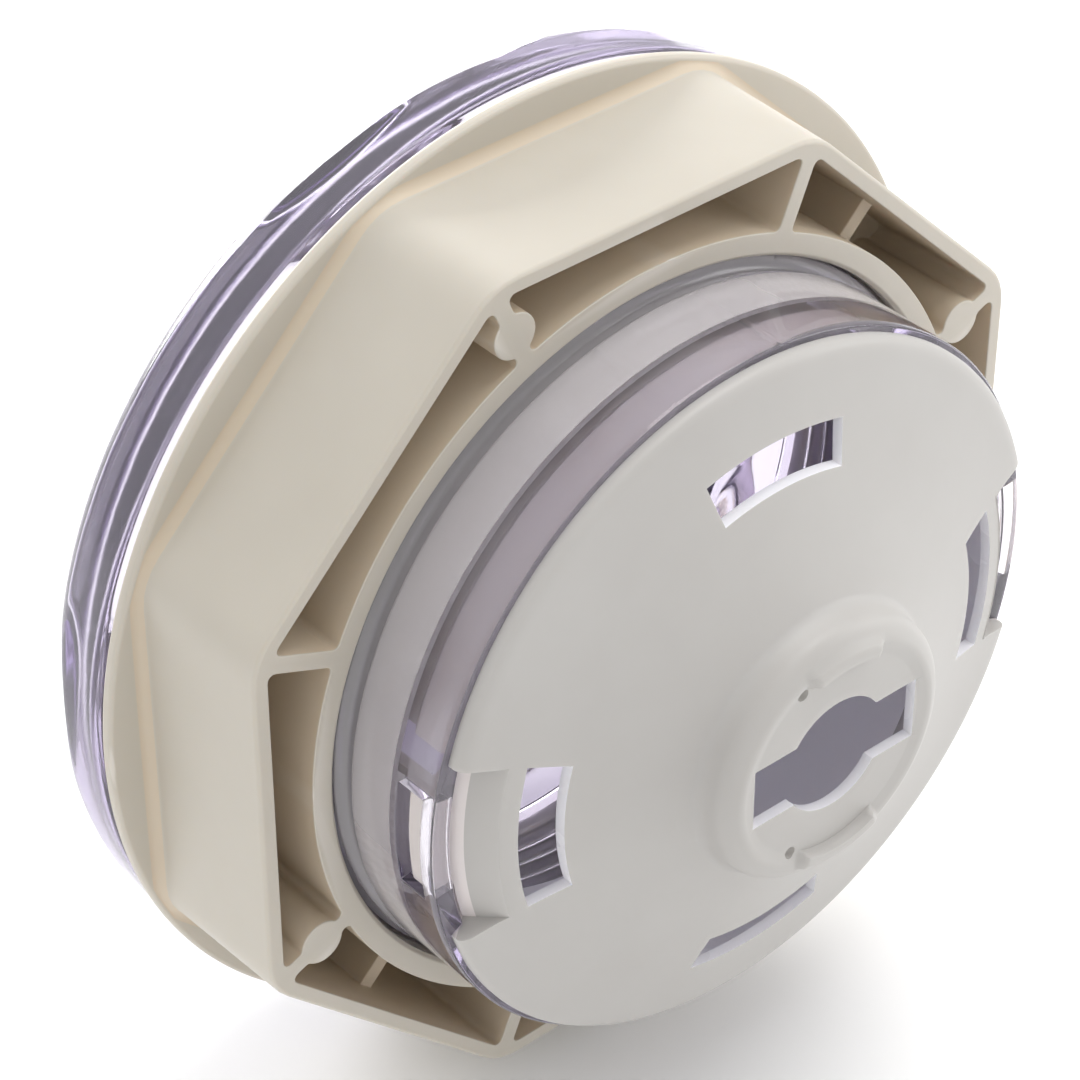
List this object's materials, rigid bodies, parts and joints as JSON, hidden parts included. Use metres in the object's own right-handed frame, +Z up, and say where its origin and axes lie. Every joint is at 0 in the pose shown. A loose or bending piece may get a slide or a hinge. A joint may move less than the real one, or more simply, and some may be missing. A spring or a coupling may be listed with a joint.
{
  "type": "hot tub light housing",
  "caption": "Through-wall light housing: clear scalloped lens body, gasket, ivory octagonal ring nut and white reflector cap with a bayonet keyhole at the rear.",
  "frame": {"origin": "centre of the lens flange's rear seating face, on the barrel's axis", "axes": "the barrel's axis lies along Y: +Y points out of the wall to the wet side (front lens), -Y to the rear (reflector cap); +Z up, +X to the right as seen from the rear"},
  "size_m": [0.1276, 0.0681, 0.1276],
  "materials": {
    "clear_lens": "clear lavender-tinted injection-moulded plastic, polished",
    "white_reflector": "satin moulded white plastic",
    "ivory_nut": "satin moulded ivory plastic",
    "gasket_rubber": "soft white rubber, matt"
  },
  "bodies": {
    "housing": {"lens_body": "clear_lens", "rear_cap": "white_reflector"},
    "gasket": {"flange_gasket": "gasket_rubber"},
    "nut": {"wall_nut": "ivory_nut"}
  },
  "joints": [
    {"name": "nut_travel", "type": "slide", "parent": "housing", "child": "gasket", "axis": [0, -1, 0], "range_m": [0, 0.015]},
    {"name": "nut_turn", "type": "hinge", "parent": "gasket", "child": "nut", "pos_m": [0, 0, 0], "axis": [0, -1, 0], "range_deg": [0, 2160]}
  ],
  "couplings": [
    {"joint": "nut_travel", "follows": "nut_turn", "m_per_rad": 0.00039789}
  ]
}
